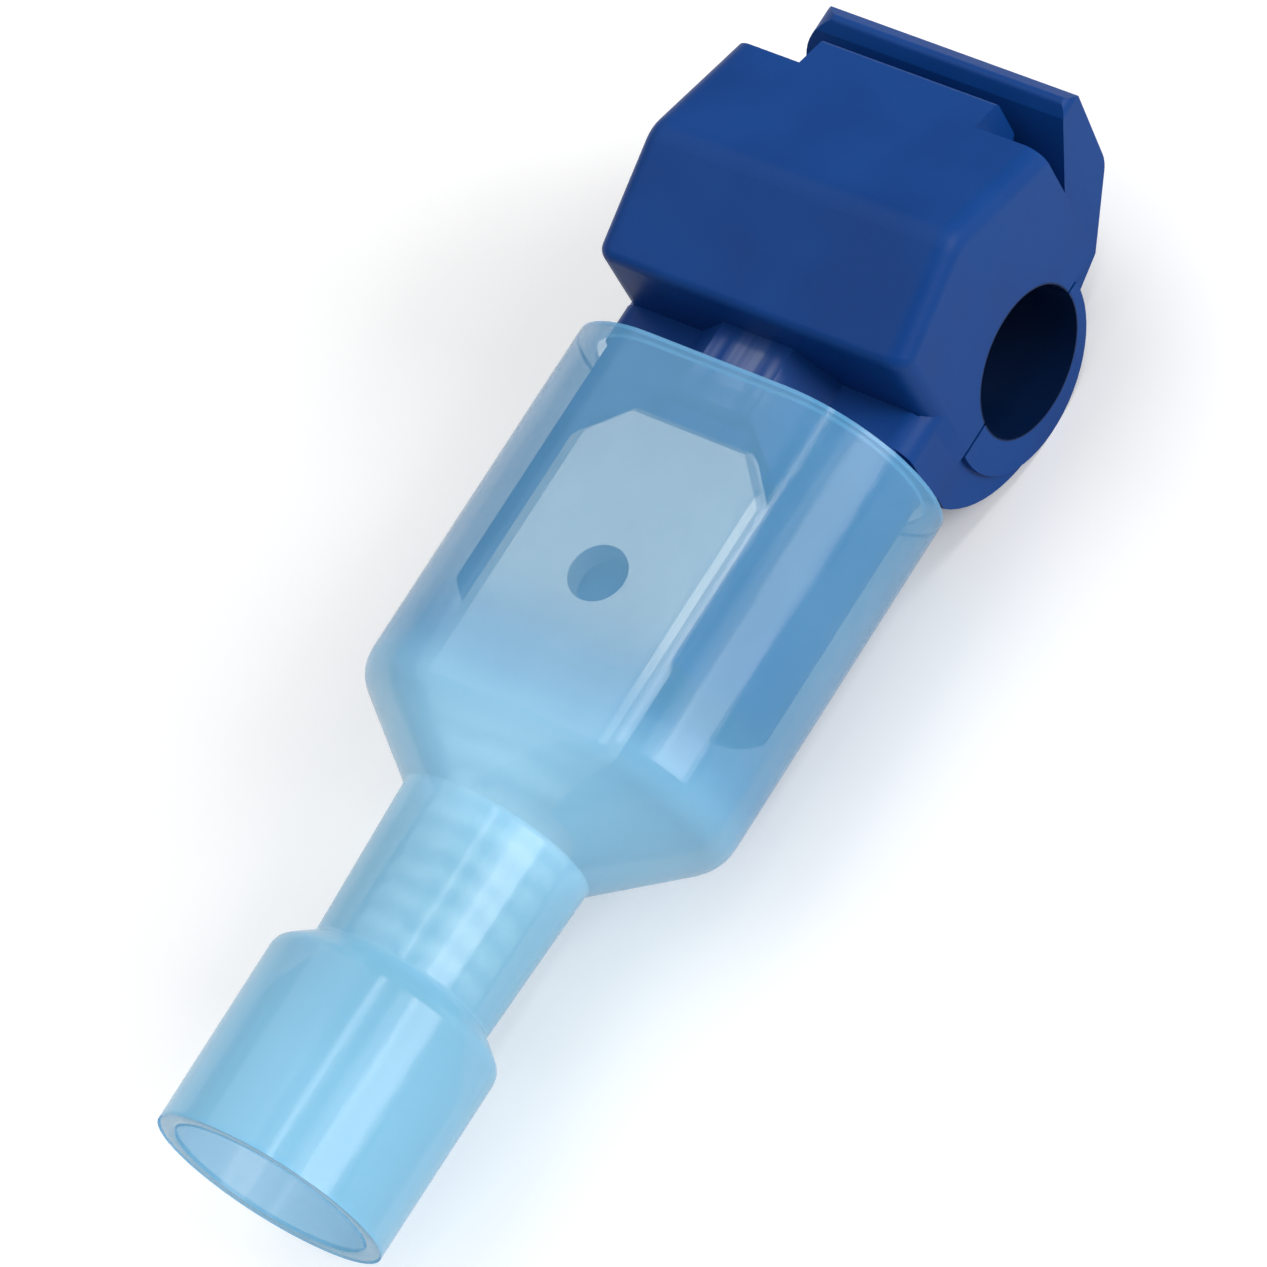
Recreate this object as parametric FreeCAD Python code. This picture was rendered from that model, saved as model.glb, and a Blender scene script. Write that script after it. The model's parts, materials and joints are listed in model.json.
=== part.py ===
import FreeCAD, Part
import math
import os

from FreeCAD import Vector

# A wire tap with an insulated male disconnect plugged on it.
# +X runs along the plug towards the head, +Z out of the head's front face, and the run wire lies along Y.
# The pieces are built with X = 0 at the underside of the head.
# The part lies on the belly of its cap, at Z = 0.
# All sizes are millimetres.

# Run wire hole and the two halves round it
wire_bore_r = 2.24
wire_axis_x = 3.75
collar_wall = 0.76
collar_shift = 0.35
collar_width = 0.75
belly_recess = 0.2
parting_above_wire = 0.25
parting_gap = 0.1

# Head block, given on its side view
head_side_step = 0.12
head_length = 7.48
ridge_x = 3.66
front_root_height = 5.35
ridge_rise = 1.26
front_top_drop = 0.12
head_edge_round = 0.35
ridge_round = 1.2
end_rim_round = 0.6
top_foot_chamfer = 0.3
overhang = 2.5

# Latch: the nose on the block and the lip on the cap
nose_half_width = 2.97
nose_reach = 1.05
nose_tip_height = 1.55
nose_root_extra = 0.7
lip_half_width = 4.4
lip_clearance = 0.12
lip_foot_height = 0.65
lip_lean_x = 1.58
lip_lean_z = 2.97
lip_tip_width = 0.82
lip_crown_in = 0.38
lip_knee_out = 0.59
lip_knee_round = 0.95
lip_heel_out = 0.4
lip_heel_fall = 0.42
lip_root_cover = 0.11
lip_near_corner_round = 0.4
lip_far_corner_round = 1.3
lip_edge_round = 0.2
latch_ridge_height = 0.24
latch_ridge_width = 0.36
latch_ridge_z = 0.8
latch_groove_depth = 0.28

# Neck that the hood slides on
shoulder_length = 1.15
shoulder_front_round = 0.7
neck_length = 9.6
neck_fit = 0.25
neck_core_wall = 0.85
neck_core_rib = 0.7
neck_core_side = 1.2
neck_end_chamfer = 0.3
channel_land = 0.25
channel_start = 1.6
channel_rail_width = 0.4
channel_rail_cover = 0.35

# Hump that covers the contact's strap
hump_length = 3.2
hump_height = 1.2
hump_top_half = 1.2
hump_foot_half = 2.4
hump_end_slope = 0.9

# Living hinge strap
hinge_thickness = 0.3
hinge_half_width = 3.75
hinge_root = 0.85
hinge_axis_x = -0.25
hinge_fold_gap = 0.5
hinge_side_play = 0.1
hinge_groove_r = 0.3
hinge_groove_depth = 0.12
heel_half_width = 5.05
heel_x = -0.9
heel_round_x = 2.9
heel_r = 4.28
heel_swing_drop = 0.12

# Contact sheet
contact_sheet = 0.4
contact_bend = 0.3
contact_play = 0.05
fork_side_play = 0.15
strap_half_width = 1.3
fork_plate_y = 1.6
fork_leg_half = 1.3
fork_slot = 1.0
fork_slot_top = 0.8
fork_tip_depth = 1.45
fork_lead_in = 0.35
fork_root_half = 2.1
fork_relief = 0.25
landing_end_margin = 2.8
landing_length = 1.8
landing_side_margin = 0.2
landing_neck_in = 1.2

# Tab and barrel of the plug's terminal
tab_width = 6.35
tab_thickness = 0.8
tab_tip_x = -3.3
tab_corner_side = 1.2
tab_corner_length = 1.25
tab_hole_r = 0.88
tab_hole_from_tip = 4.9
tab_slide_play = 0.03
barrel_lead = 0.9
joggle_length = 1.8
barrel_outer_r = 2.0
barrel_inner_r = 1.2
barrel_length = 5.7
barrel_seam = 0.1
trough_half_angle = 60.0

# Insulating sleeve
hood_side_room = 1.775
hood_half_depth = 3.65
hood_wall = 0.6
hood_axis_behind_neck = 1.35
hood_rim_gap = 0.2
hood_length = 11.55
cone_length = 2.4
sleeve_neck_top_r = 2.86
sleeve_neck_end_r = 2.67
sleeve_neck_length = 4.9
funnel_shoulder = 0.7
funnel_r = 3.5
funnel_mouth_r = 3.46
funnel_length = 6.05
funnel_wall = 0.55
funnel_lead_in = 1.1
barrel_fit = 0.05
hood_shoulder_round = 0.5
rim_break = 0.12

# Levels and stations that follow from the sizes
wire_axis_z = wire_bore_r + collar_wall
collar_r = wire_bore_r + collar_wall
collar_x = wire_axis_x - collar_shift
belly_r = collar_r - belly_recess
parting_z = wire_axis_z + parting_above_wire
cap_top_z = parting_z - parting_gap
front_root_z = wire_axis_z + front_root_height
ridge_z = front_root_z + ridge_rise
front_top_z = front_root_z - front_top_drop
front_slope = (ridge_z - front_top_z) / (head_length - ridge_x)
nose_tip_z = front_top_z - front_slope * nose_reach
neck_front_z = front_root_z - overhang
sleeve_axis_z = neck_front_z - hood_axis_behind_neck
channel_half = tab_width / 2 + tab_slide_play
channel_outer_half = channel_half + channel_rail_width
hood_half_width = channel_outer_half + hood_side_room + hood_wall
neck_half_width = hood_half_width - hood_wall - neck_fit
head_half_width = neck_half_width + head_side_step
neck_half_depth = hood_half_depth - hood_wall - neck_fit
neck_rear_z = sleeve_axis_z - neck_half_depth
contact_low_z = neck_front_z + channel_land
contact_top_z = contact_low_z + contact_sheet
tab_low_z = contact_top_z + tab_slide_play
fork_outer_half = fork_plate_y + contact_sheet
pocket_half_width = fork_outer_half + fork_side_play
rim_x = -shoulder_length - hood_rim_gap
cone_x = rim_x - hood_length
sleeve_neck_x = cone_x - cone_length
funnel_x = sleeve_neck_x - sleeve_neck_length
funnel_wide_x = funnel_x - funnel_shoulder
mouth_x = funnel_wide_x - funnel_length
barrel_x = sleeve_neck_x + barrel_lead
tab_shoulder_x = barrel_x + joggle_length
landing_x = -neck_length + landing_end_margin
landing_half = channel_half - landing_side_margin
sleeve_bore_r = barrel_outer_r + barrel_fit
lip_inner_x = head_length + lip_clearance
lip_tip_x = lip_inner_x + lip_lean_x
lip_far_x = lip_tip_x + lip_tip_width
lip_foot_z = parting_z + lip_foot_height
lip_tip_z = lip_foot_z + lip_lean_z
lip_top_z = lip_tip_z + lip_crown_in
origin_x = (mouth_x + lip_far_x) / 2


def side_face(points):
    """Flat face in the side view from (x, z) points."""
    corners = [Vector(x, 0, z) for x, z in points]
    return Part.Face(Part.makePolygon(corners + corners[:1]))


def across(face, half_width):
    """Extrude a side-view face to both sides of the middle plane."""
    moved = face.copy()
    moved.translate(Vector(0, -half_width, 0))
    return moved.extrude(Vector(0, 2 * half_width, 0))


def block(x0, x1, half_width, z0, z1):
    """Plain block, even about the middle plane."""
    return Part.makeBox(x1 - x0, 2 * half_width, z1 - z0, Vector(x0, -half_width, z0))


def cross_rod(x, z, radius, half_width):
    """Round bar along Y."""
    return Part.makeCylinder(radius, 2 * half_width, Vector(x, -half_width, z), Vector(0, 1, 0))


def edges_at(shape, points):
    """Edges along Y that pass through one of the (x, z) points."""
    found = []
    for edge in shape.Edges:
        middle = edge.BoundBox.Center
        if edge.BoundBox.YLength < 0.5 or edge.BoundBox.XLength > 0.01 or edge.BoundBox.ZLength > 0.01:
            continue
        if any(math.hypot(middle.x - x, middle.z - z) < 0.02 for x, z in points):
            found.append(edge)
    return found


def edges_along(shape, z):
    """Long edges along X that lie at height z."""
    found = []
    for edge in shape.Edges:
        box = edge.BoundBox
        if box.XLength > shoulder_length / 2 and box.YLength < 0.01 and abs(box.Center.z - z) < 0.01:
            found.append(edge)
    return found


def rings_at(shape, stations):
    """Edges that lie across X at one of the stations."""
    found = []
    for edge in shape.Edges:
        box = edge.BoundBox
        if box.XLength < 0.01 and any(abs(box.Center.x - x) < 0.01 for x in stations):
            found.append(edge)
    return found


def stadium(x, half_width, half_depth):
    """Flattened round outline across X, centred on the sleeve's axis."""
    flat = half_width - half_depth
    top = sleeve_axis_z + half_depth
    low = sleeve_axis_z - half_depth
    right_top = Vector(x, flat, top)
    left_top = Vector(x, -flat, top)
    left_low = Vector(x, -flat, low)
    right_low = Vector(x, flat, low)
    edges = [
        Part.LineSegment(right_top, left_top).toShape(),
        Part.Arc(left_top, Vector(x, -half_width, sleeve_axis_z), left_low).toShape(),
        Part.LineSegment(left_low, right_low).toShape(),
        Part.Arc(right_low, Vector(x, half_width, sleeve_axis_z), right_top).toShape(),
    ]
    return Part.Wire(edges)


def split_circle(x, radius, corner_angle):
    """Circle across X in four arcs that start at the same corners as the stadium."""
    angles = [corner_angle, 180 - corner_angle, 180 + corner_angle, 360 - corner_angle, 360 + corner_angle]

    def on_circle(degrees):
        turn = math.radians(degrees)
        return Vector(x, radius * math.cos(turn), sleeve_axis_z + radius * math.sin(turn))

    edges = []
    for start, end in zip(angles[:-1], angles[1:]):
        arc = Part.Arc(on_circle(start), on_circle((start + end) / 2), on_circle(end))
        edges.append(arc.toShape())
    return Part.Wire(edges)


def axis_cone(x0, r0, x1, r1):
    """Round solid about the sleeve's axis from station x0 back to x1."""
    if abs(r0 - r1) < 1e-6:
        return Part.makeCylinder(r0, x0 - x1, Vector(x0, 0, sleeve_axis_z), Vector(-1, 0, 0))
    return Part.makeCone(r0, r1, x0 - x1, Vector(x0, 0, sleeve_axis_z), Vector(-1, 0, 0))


def head_block():
    """Wire clamp block with its slanted front faces, and the shoulder under it."""
    profile = [
        (0, neck_front_z),
        (0, front_root_z),
        (ridge_x, ridge_z),
        (head_length, front_top_z),
        (head_length, parting_z + top_foot_chamfer),
        (head_length - top_foot_chamfer, parting_z),
        (0, parting_z),
    ]
    body = across(side_face(profile), head_half_width)
    body = body.makeFillet(ridge_round, edges_at(body, [(ridge_x, ridge_z)]))
    body = body.makeFillet(head_edge_round, edges_at(body, [(0, front_root_z)]))
    rim = []
    for edge in body.Edges:
        box = edge.BoundBox
        on_end = box.YLength < 0.01 and abs(abs(box.Center.y) - head_half_width) < 0.01
        if on_end and box.ZMin > neck_front_z + 0.01 and box.Center.x < head_length - 0.01:
            rim.append(edge)
    body = body.makeFillet(end_rim_round, rim)
    shoulder = block(-shoulder_length, 0, head_half_width, parting_z, neck_front_z)
    shoulder = shoulder.makeFillet(shoulder_front_round, edges_along(shoulder, neck_front_z))
    hinge_root_block = block(-shoulder_length, hinge_axis_x - hinge_fold_gap / 2, hinge_half_width,
                             neck_rear_z, parting_z)
    return body.fuse([shoulder, hinge_root_block])


def latch_nose():
    """Ledge that carries the upper front face on past the block's far end."""
    tip_x = head_length + nose_reach
    inner_x = head_length - head_edge_round
    foot_z = nose_tip_z - nose_tip_height
    profile = side_face([
        (inner_x, front_top_z + front_slope * head_edge_round),
        (tip_x, nose_tip_z),
        (tip_x, foot_z),
        (head_length, foot_z - nose_root_extra),
        (inner_x, foot_z - nose_root_extra),
    ])
    ledge = across(profile, nose_half_width)
    return ledge.makeFillet(head_edge_round / 2, edges_at(ledge, [(tip_x, nose_tip_z), (tip_x, foot_z)]))


def neck():
    """Flat-fronted tongue that fills the hood, cored beside a rib, with the railed channel for the tab."""
    outline = stadium(-neck_length, neck_half_width, neck_half_depth)
    body = Part.Face(outline).extrude(Vector(neck_length - shoulder_length, 0, 0))
    front = block(-neck_length - 1, 1, head_half_width + 1, neck_front_z, ridge_z)
    land = block(-neck_length, -channel_start, channel_outer_half, neck_front_z - channel_land,
                 tab_low_z + channel_rail_cover)
    channel = block(-neck_length - 1, tab_tip_x + tab_slide_play, channel_half, contact_low_z, ridge_z)
    lead = block(tab_tip_x, 1, head_half_width, contact_low_z, ridge_z)
    body = body.cut(front).fuse(land).cut([channel, lead])
    end_edges = []
    for edge in body.Edges:
        box = edge.BoundBox
        if box.XMax < -neck_length + 0.01 and box.ZMax < neck_front_z - channel_land:
            end_edges.append(edge)
    body = body.makeChamfer(neck_end_chamfer, end_edges)
    core_low = neck_rear_z + neck_core_wall
    core_high = neck_front_z - neck_core_wall
    core_width = neck_half_width - neck_core_side - neck_core_rib / 2
    for side in (-1, 1):
        y0 = neck_core_rib / 2 if side > 0 else -neck_core_rib / 2 - core_width
        corner = Vector(-neck_length - 1, y0, core_low)
        depth = neck_length + 1 - shoulder_length
        body = body.cut(Part.makeBox(depth, core_width, core_high - core_low, corner))
    return body


def strap_hump():
    """Tapered hood over the contact's strap, where it enters the head."""
    high = neck_front_z + hump_height
    section = Part.makePolygon([
        Vector(0, -hump_foot_half, neck_front_z),
        Vector(0, -hump_top_half, high),
        Vector(0, hump_top_half, high),
        Vector(0, hump_foot_half, neck_front_z),
        Vector(0, -hump_foot_half, neck_front_z),
    ])
    body = Part.Face(section).extrude(Vector(-hump_length, 0, 0))
    slope = side_face([
        (-hump_length, neck_front_z + hump_height - hump_end_slope),
        (-hump_length, high + 1),
        (-hump_length + hump_end_slope + 1, high + 1),
    ])
    return body.cut(across(slope, head_half_width))


def contact_room():
    """Tunnel for the strap and the pocket for the fork."""
    tunnel = block(-hump_length - 0.1, wire_axis_x, strap_half_width + contact_play,
                   contact_low_z, contact_top_z + contact_play)
    room_half = fork_root_half + contact_sheet
    pocket = block(wire_axis_x - room_half, wire_axis_x + room_half, pocket_half_width,
                   parting_z - 1, contact_top_z + contact_play)
    return tunnel.fuse(pocket)


def latch_groove():
    """Groove across the far end of the block. Its lower flank follows the lip's swing."""
    middle = parting_z + latch_ridge_z
    width = latch_ridge_width + 2 * parting_gap
    profile = side_face([
        (head_length + 0.1, middle + width * 0.5),
        (head_length - latch_groove_depth, middle + width * 0.5),
        (head_length - latch_groove_depth, middle - width * 0.3),
        (head_length + 0.1, middle - width * 0.3 - 2.1 * latch_groove_depth),
    ])
    return across(profile, lip_half_width + 0.2)


def socket_half():
    """Moulded half that holds the contact: block, nose, neck and hump."""
    body = head_block().fuse([neck(), strap_hump(), latch_nose()])
    body = body.removeSplitter()
    bore = cross_rod(wire_axis_x, wire_axis_z, wire_bore_r, head_half_width + 1)
    return body.cut([bore, contact_room(), latch_groove()])


def half_pipe(radius, y0, y1):
    """Lower part of a round bar under the parting plane, thicker at its hinge side than at its lip."""
    bar = Part.makeCylinder(radius, y1 - y0, Vector(collar_x, y0, wire_axis_z), Vector(0, 1, 0))
    above = block(collar_x - 2 * radius, collar_x + 2 * radius, head_half_width + 1,
                  cap_top_z, parting_z + 2 * radius)
    return bar.cut(above)


def lip_wall():
    """Flared wall that rises from the cap behind the block's far end."""
    diagonal = math.sqrt(0.5)
    root_r = wire_bore_r + lip_root_cover
    knee = (lip_tip_x + lip_knee_out, lip_foot_z)
    crown = (lip_tip_x + lip_crown_in, lip_top_z)
    profile = [
        (wire_axis_x + root_r, cap_top_z),
        (lip_inner_x, cap_top_z),
        (lip_inner_x, lip_foot_z),
        (lip_tip_x, lip_tip_z),
        crown,
        (lip_far_x, lip_tip_z),
        knee,
        (lip_inner_x + lip_heel_out, wire_axis_z - collar_r * lip_heel_fall),
        (collar_x + collar_r * diagonal, wire_axis_z - collar_r * diagonal),
        (wire_axis_x + root_r * diagonal, wire_axis_z - root_r * diagonal),
        (wire_axis_x + root_r, wire_axis_z),
    ]
    wall = across(side_face(profile), lip_half_width)
    wall = wall.makeFillet(lip_knee_round, edges_at(wall, [knee]))
    wall = wall.makeFillet(lip_edge_round, edges_at(wall, [crown]))
    outline = block(0, 2 * lip_far_x, lip_half_width, 0, lip_top_z)
    for side, corner_round in ((-1, lip_near_corner_round), (1, lip_far_corner_round)):
        upper = []
        for edge in outline.Edges:
            middle = edge.BoundBox.Center
            if abs(middle.y - side * lip_half_width) < 0.01 and abs(middle.z - lip_top_z) < 0.01:
                upper.append(edge)
        outline = outline.makeFillet(corner_round, upper)
    return wall.common(outline)


def latch_ridge():
    """Low ridge on the lip's inner face that rides in the block's groove."""
    middle = parting_z + latch_ridge_z
    profile = side_face([
        (lip_inner_x + lip_clearance, middle + latch_ridge_width),
        (lip_inner_x - latch_ridge_height, middle + latch_ridge_width * 0.2),
        (lip_inner_x - latch_ridge_height, middle - latch_ridge_width * 0.2),
        (lip_inner_x, middle - latch_ridge_width * 0.5),
        (lip_inner_x + lip_clearance, middle - latch_ridge_width),
    ])
    return across(profile, lip_half_width - lip_far_corner_round)


def hinge_heel():
    """Rounded foot that fills the corner from the collars to the hinge, slotted for the hinge's root."""
    body = cross_rod(heel_round_x, heel_r, heel_r, heel_half_width)
    keep = across(side_face([
        (heel_x, 0),
        (wire_axis_x, 0),
        (wire_axis_x, cap_top_z),
        (hinge_axis_x, cap_top_z),
        (heel_x, cap_top_z - heel_swing_drop),
    ]), heel_half_width)
    slot = block(heel_x - 1, hinge_axis_x + hinge_fold_gap / 2, hinge_half_width + hinge_side_play, 0, parting_z)
    return body.common(keep).cut(slot)


def hinged_cap():
    """Moulded half that closes on the run wire."""
    inner_y = head_half_width - collar_width
    body = half_pipe(belly_r, -inner_y, inner_y)
    body = body.fuse([
        half_pipe(collar_r, -head_half_width, -inner_y),
        half_pipe(collar_r, inner_y, head_half_width),
        hinge_heel(),
        lip_wall(),
        latch_ridge(),
    ])
    bore = cross_rod(wire_axis_x, wire_axis_z, wire_bore_r, head_half_width + 1)
    room = cross_rod(wire_axis_x, wire_axis_z, wire_bore_r + fork_relief, pocket_half_width)
    return body.cut([bore, room]).removeSplitter()


def living_hinge():
    """Thin strap from the neck's root to the heel, thinned at the fold."""
    strap = block(-hinge_root, hinge_axis_x + hinge_fold_gap / 2, hinge_half_width,
                  neck_rear_z - hinge_thickness, neck_rear_z)
    groove_z = neck_rear_z + hinge_groove_r - hinge_groove_depth
    return strap.cut(cross_rod(hinge_axis_x, groove_z, hinge_groove_r, hinge_half_width + 1))


def fork_plate():
    """Slotted plate that cuts through the run wire's insulation."""
    root_z = contact_low_z + contact_sheet * 0.5
    tip_z = wire_axis_z - fork_tip_depth
    leg_top_z = wire_axis_z + wire_bore_r
    slot_top_z = wire_axis_z + fork_slot_top
    outline = side_face([
        (wire_axis_x - fork_root_half, root_z),
        (wire_axis_x - fork_root_half, leg_top_z + 0.3),
        (wire_axis_x - fork_leg_half, leg_top_z - 0.5),
        (wire_axis_x - fork_leg_half, tip_z),
        (wire_axis_x + fork_leg_half, tip_z),
        (wire_axis_x + fork_leg_half, leg_top_z - 0.5),
        (wire_axis_x + fork_root_half, leg_top_z + 0.3),
        (wire_axis_x + fork_root_half, root_z),
    ])
    slot = side_face([
        (wire_axis_x - fork_slot / 2 - fork_lead_in, tip_z - 0.1),
        (wire_axis_x - fork_slot / 2, tip_z + fork_lead_in * 1.6),
        (wire_axis_x - fork_slot / 2, slot_top_z),
        (wire_axis_x + fork_slot / 2, slot_top_z),
        (wire_axis_x + fork_slot / 2, tip_z + fork_lead_in * 1.6),
        (wire_axis_x + fork_slot / 2 + fork_lead_in, tip_z - 0.1),
    ])
    plate = across(outline, contact_sheet / 2)
    plate = plate.cut(across(slot, contact_sheet))
    return plate.cut(cross_rod(wire_axis_x, slot_top_z, fork_slot / 2, contact_sheet))


def tap_contact():
    """One folded sheet: fork, strap under the hump, and the landing that the tab slides over."""
    web = block(wire_axis_x - fork_root_half, wire_axis_x + fork_root_half,
                fork_outer_half, contact_low_z, contact_top_z)
    end_x = landing_x + landing_length
    strap = block(end_x, wire_axis_x, strap_half_width, contact_low_z, contact_top_z)
    landing = Part.Face(Part.makePolygon([
        Vector(landing_x, -landing_half, contact_low_z),
        Vector(landing_x, landing_half, contact_low_z),
        Vector(end_x, landing_half, contact_low_z),
        Vector(end_x + landing_neck_in, strap_half_width, contact_low_z),
        Vector(end_x + landing_neck_in, -strap_half_width, contact_low_z),
        Vector(end_x, -landing_half, contact_low_z),
        Vector(landing_x, -landing_half, contact_low_z),
    ])).extrude(Vector(0, 0, contact_sheet))
    pieces = [strap, landing]
    for side in (-1, 1):
        plate = fork_plate()
        plate.translate(Vector(0, side * (fork_plate_y + contact_sheet / 2), 0))
        pieces.append(plate)
    body = web.fuse(pieces).removeSplitter()
    folds = []
    for edge in body.Edges:
        box = edge.BoundBox
        along_x = box.YLength < 0.01 and box.ZLength < 0.01 and box.XLength > 1
        if along_x and abs(abs(box.Center.y) - fork_outer_half) < 0.01 and box.ZMin > contact_top_z - 0.01:
            folds.append(edge)
    return body.makeFillet(contact_bend, folds)


def tab_blank():
    """Flat tab with cut corners and its hole."""
    half = tab_width / 2
    outline = [
        (tab_tip_x, -half + tab_corner_side),
        (tab_tip_x, half - tab_corner_side),
        (tab_tip_x - tab_corner_length, half),
        (tab_shoulder_x, half),
        (tab_shoulder_x, -half),
        (tab_tip_x - tab_corner_length, -half),
    ]
    corners = [Vector(x, y, tab_low_z) for x, y in outline]
    body = Part.Face(Part.makePolygon(corners + corners[:1])).extrude(Vector(0, 0, tab_thickness))
    tip_edges = []
    for edge in body.Edges:
        box = edge.BoundBox
        if box.ZLength < 0.01 and box.XMin > tab_tip_x - tab_corner_length - 0.01 and box.YLength > 0.5:
            tip_edges.append(edge)
    body = body.makeChamfer(tab_thickness * 0.22, tip_edges)
    hole = Part.makeCylinder(tab_hole_r, 2 * tab_thickness,
                             Vector(tab_tip_x - tab_hole_from_tip, 0, tab_low_z - tab_thickness / 2))
    return body.cut(hole)


def trough(x, half_angle):
    """Section across X of the sheet where it curls into the barrel."""
    def on_arc(radius, degrees):
        turn = math.radians(degrees)
        return Vector(x, radius * math.sin(turn), sleeve_axis_z + radius * math.cos(turn))

    outer = [on_arc(barrel_outer_r, turn) for turn in (-half_angle, 0, half_angle)]
    inner = [on_arc(barrel_inner_r, turn) for turn in (half_angle, 0, -half_angle)]
    edges = [
        Part.Arc(*outer).toShape(),
        Part.LineSegment(outer[-1], inner[0]).toShape(),
        Part.Arc(*inner).toShape(),
        Part.LineSegment(inner[-1], outer[0]).toShape(),
    ]
    return Part.Wire(edges)


def flat_section(x):
    """Section across X of the flat end of the tab."""
    half = tab_width / 2
    top = tab_low_z + tab_thickness
    return Part.makePolygon([
        Vector(x, -half, top),
        Vector(x, half, top),
        Vector(x, half, tab_low_z),
        Vector(x, -half, tab_low_z),
        Vector(x, -half, top),
    ])


def male_tab_terminal():
    """Tab, joggle and rolled barrel with its seam, folded from one sheet."""
    joggle = Part.makeLoft([flat_section(tab_shoulder_x), trough(barrel_x, trough_half_angle)], True, True)
    barrel_end_x = barrel_x - barrel_length
    tube = axis_cone(barrel_x, barrel_outer_r, barrel_end_x, barrel_outer_r)
    bore = axis_cone(barrel_x, barrel_inner_r, barrel_end_x, barrel_inner_r)
    seam = block(barrel_end_x, barrel_x, barrel_seam / 2,
                 sleeve_axis_z - barrel_outer_r - 0.2, sleeve_axis_z - barrel_inner_r + 0.2)
    return tab_blank().fuse([joggle, tube.cut(bore).cut(seam)]).removeSplitter()


def sleeve_skin(wall):
    """Solid outline of the sleeve, drawn in by the wall for its inside."""
    half_width = hood_half_width - wall
    half_depth = hood_half_depth - wall
    shift = wall * 0.45
    hood = Part.Face(stadium(rim_x, half_width, half_depth)).extrude(Vector(-hood_length + shift, 0, 0))
    neck_r = sleeve_bore_r if wall > 0 else sleeve_neck_top_r
    corner_angle = math.degrees(math.atan2(half_depth, half_width - half_depth))
    cone = Part.makeLoft([
        stadium(cone_x + shift, half_width, half_depth),
        split_circle(sleeve_neck_x + shift, neck_r, corner_angle),
    ], True, True)
    return hood.fuse(cone)


def insulating_sleeve():
    """Nylon moulding: hood, cone, neck and wire funnel."""
    outer = sleeve_skin(0).fuse([
        axis_cone(sleeve_neck_x, sleeve_neck_top_r, funnel_x, sleeve_neck_end_r),
        axis_cone(funnel_x, sleeve_neck_end_r, funnel_wide_x, funnel_r),
        axis_cone(funnel_wide_x, funnel_r, mouth_x, funnel_mouth_r),
    ]).removeSplitter()
    outer = outer.makeFillet(hood_shoulder_round, rings_at(outer, [cone_x]))
    outer = outer.makeChamfer(rim_break, rings_at(outer, [rim_x, mouth_x]))
    lead_x = funnel_wide_x - funnel_lead_in
    inner = sleeve_skin(hood_wall).fuse([
        axis_cone(sleeve_neck_x + hood_wall, sleeve_bore_r, funnel_x, sleeve_bore_r),
        axis_cone(funnel_x, sleeve_bore_r, lead_x, funnel_r - funnel_wall),
        axis_cone(lead_x, funnel_r - funnel_wall, mouth_x - 1, funnel_r - funnel_wall),
    ])
    return outer.cut(inner)


def write(name, shape):
    """Move a piece into the part's frame, with its origin under the middle, and export it."""
    shape.translate(Vector(-origin_x, 0, 0))
    print(name, "solids", len(shape.Solids), "valid", shape.isValid(), "volume", round(shape.Volume, 2))
    shape.exportStep("parts/" + name + ".step")


def main():
    os.makedirs("parts", exist_ok=True)
    write("socket_half", socket_half())
    write("hinged_cap", hinged_cap())
    write("living_hinge", living_hinge())
    write("tap_contact", tap_contact())
    write("male_tab_terminal", male_tab_terminal())
    write("insulating_sleeve", insulating_sleeve())


main()
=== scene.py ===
# %% [markdown]
# # A wire tap with an insulated disconnect plugged on it
# The dark-blue head closes on a running wire and cuts into it. The pale-blue sleeve holds a flat tin-plated
# tab, which slides on the head's neck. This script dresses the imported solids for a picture. The rigid
# mouldings and the sheet metal keep their solids, because those already have the right shapes. The sleeve
# and the living hinge get new meshes: the sleeve because its walls need soft, even skins that light can pass
# through, and the hinge because it bends. Three small pieces close gaps that the solids leave.

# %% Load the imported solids
import json
import math

import bmesh
import bpy
from mathutils import Matrix, Quaternion, Vector


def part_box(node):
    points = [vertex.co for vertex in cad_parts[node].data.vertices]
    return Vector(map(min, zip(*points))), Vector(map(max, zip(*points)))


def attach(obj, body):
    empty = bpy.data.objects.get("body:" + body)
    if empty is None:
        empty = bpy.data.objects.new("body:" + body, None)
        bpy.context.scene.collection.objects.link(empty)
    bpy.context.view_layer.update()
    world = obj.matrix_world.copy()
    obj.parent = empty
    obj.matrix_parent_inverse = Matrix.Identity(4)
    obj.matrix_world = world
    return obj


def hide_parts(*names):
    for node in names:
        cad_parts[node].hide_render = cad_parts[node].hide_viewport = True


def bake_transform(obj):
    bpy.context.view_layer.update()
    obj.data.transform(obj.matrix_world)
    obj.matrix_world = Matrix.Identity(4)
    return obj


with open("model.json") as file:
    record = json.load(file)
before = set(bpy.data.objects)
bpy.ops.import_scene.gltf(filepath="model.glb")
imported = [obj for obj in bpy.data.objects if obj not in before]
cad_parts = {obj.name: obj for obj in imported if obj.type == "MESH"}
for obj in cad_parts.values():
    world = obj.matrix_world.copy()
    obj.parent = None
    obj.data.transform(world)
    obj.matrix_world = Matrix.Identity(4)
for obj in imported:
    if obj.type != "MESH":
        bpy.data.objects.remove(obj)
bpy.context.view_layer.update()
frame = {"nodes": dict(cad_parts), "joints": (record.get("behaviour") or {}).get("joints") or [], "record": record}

MM = 0.001
nodes = frame["nodes"]

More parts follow.
